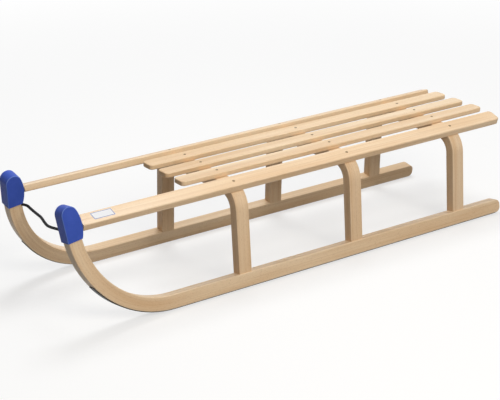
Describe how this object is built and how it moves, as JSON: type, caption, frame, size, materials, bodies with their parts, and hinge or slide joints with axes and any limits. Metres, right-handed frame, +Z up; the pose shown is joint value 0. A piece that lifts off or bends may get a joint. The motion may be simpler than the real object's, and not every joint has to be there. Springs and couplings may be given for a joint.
{
  "type": "davos sled",
  "caption": "Wooden davos sled: bent runners rising into capped horns, arched yokes under a slatted seat, shod soles and a short cord between the horns.",
  "frame": {"origin": "centre of the sled's footprint, on the floor under the runner shoes", "axes": "+X forward towards the horns, +Y to the rider's left, +Z up"},
  "size_m": [1.0972, 0.3278, 0.2535],
  "materials": {
    "beech": "clear satin varnish on steam-bent and planed beech",
    "cap": "blue moulded plastic, soft sheen",
    "shoe": "black coated steel strip",
    "cord": "black braided cord"
  },
  "bodies": {
    "root": {"runner_left": "beech", "runner_right": "beech", "yoke_rear": "beech", "yoke_middle": "beech", "yoke_front": "beech", "slat_outer_left": "beech", "slat_outer_right": "beech", "slat_inner_left": "beech", "slat_centre": "beech", "slat_inner_right": "beech", "runner_shoe_left": "shoe", "runner_shoe_right": "shoe", "horn_cap_left": "cap", "horn_cap_right": "cap", "pull_cord": "cord"}
  },
  "joints": []
}
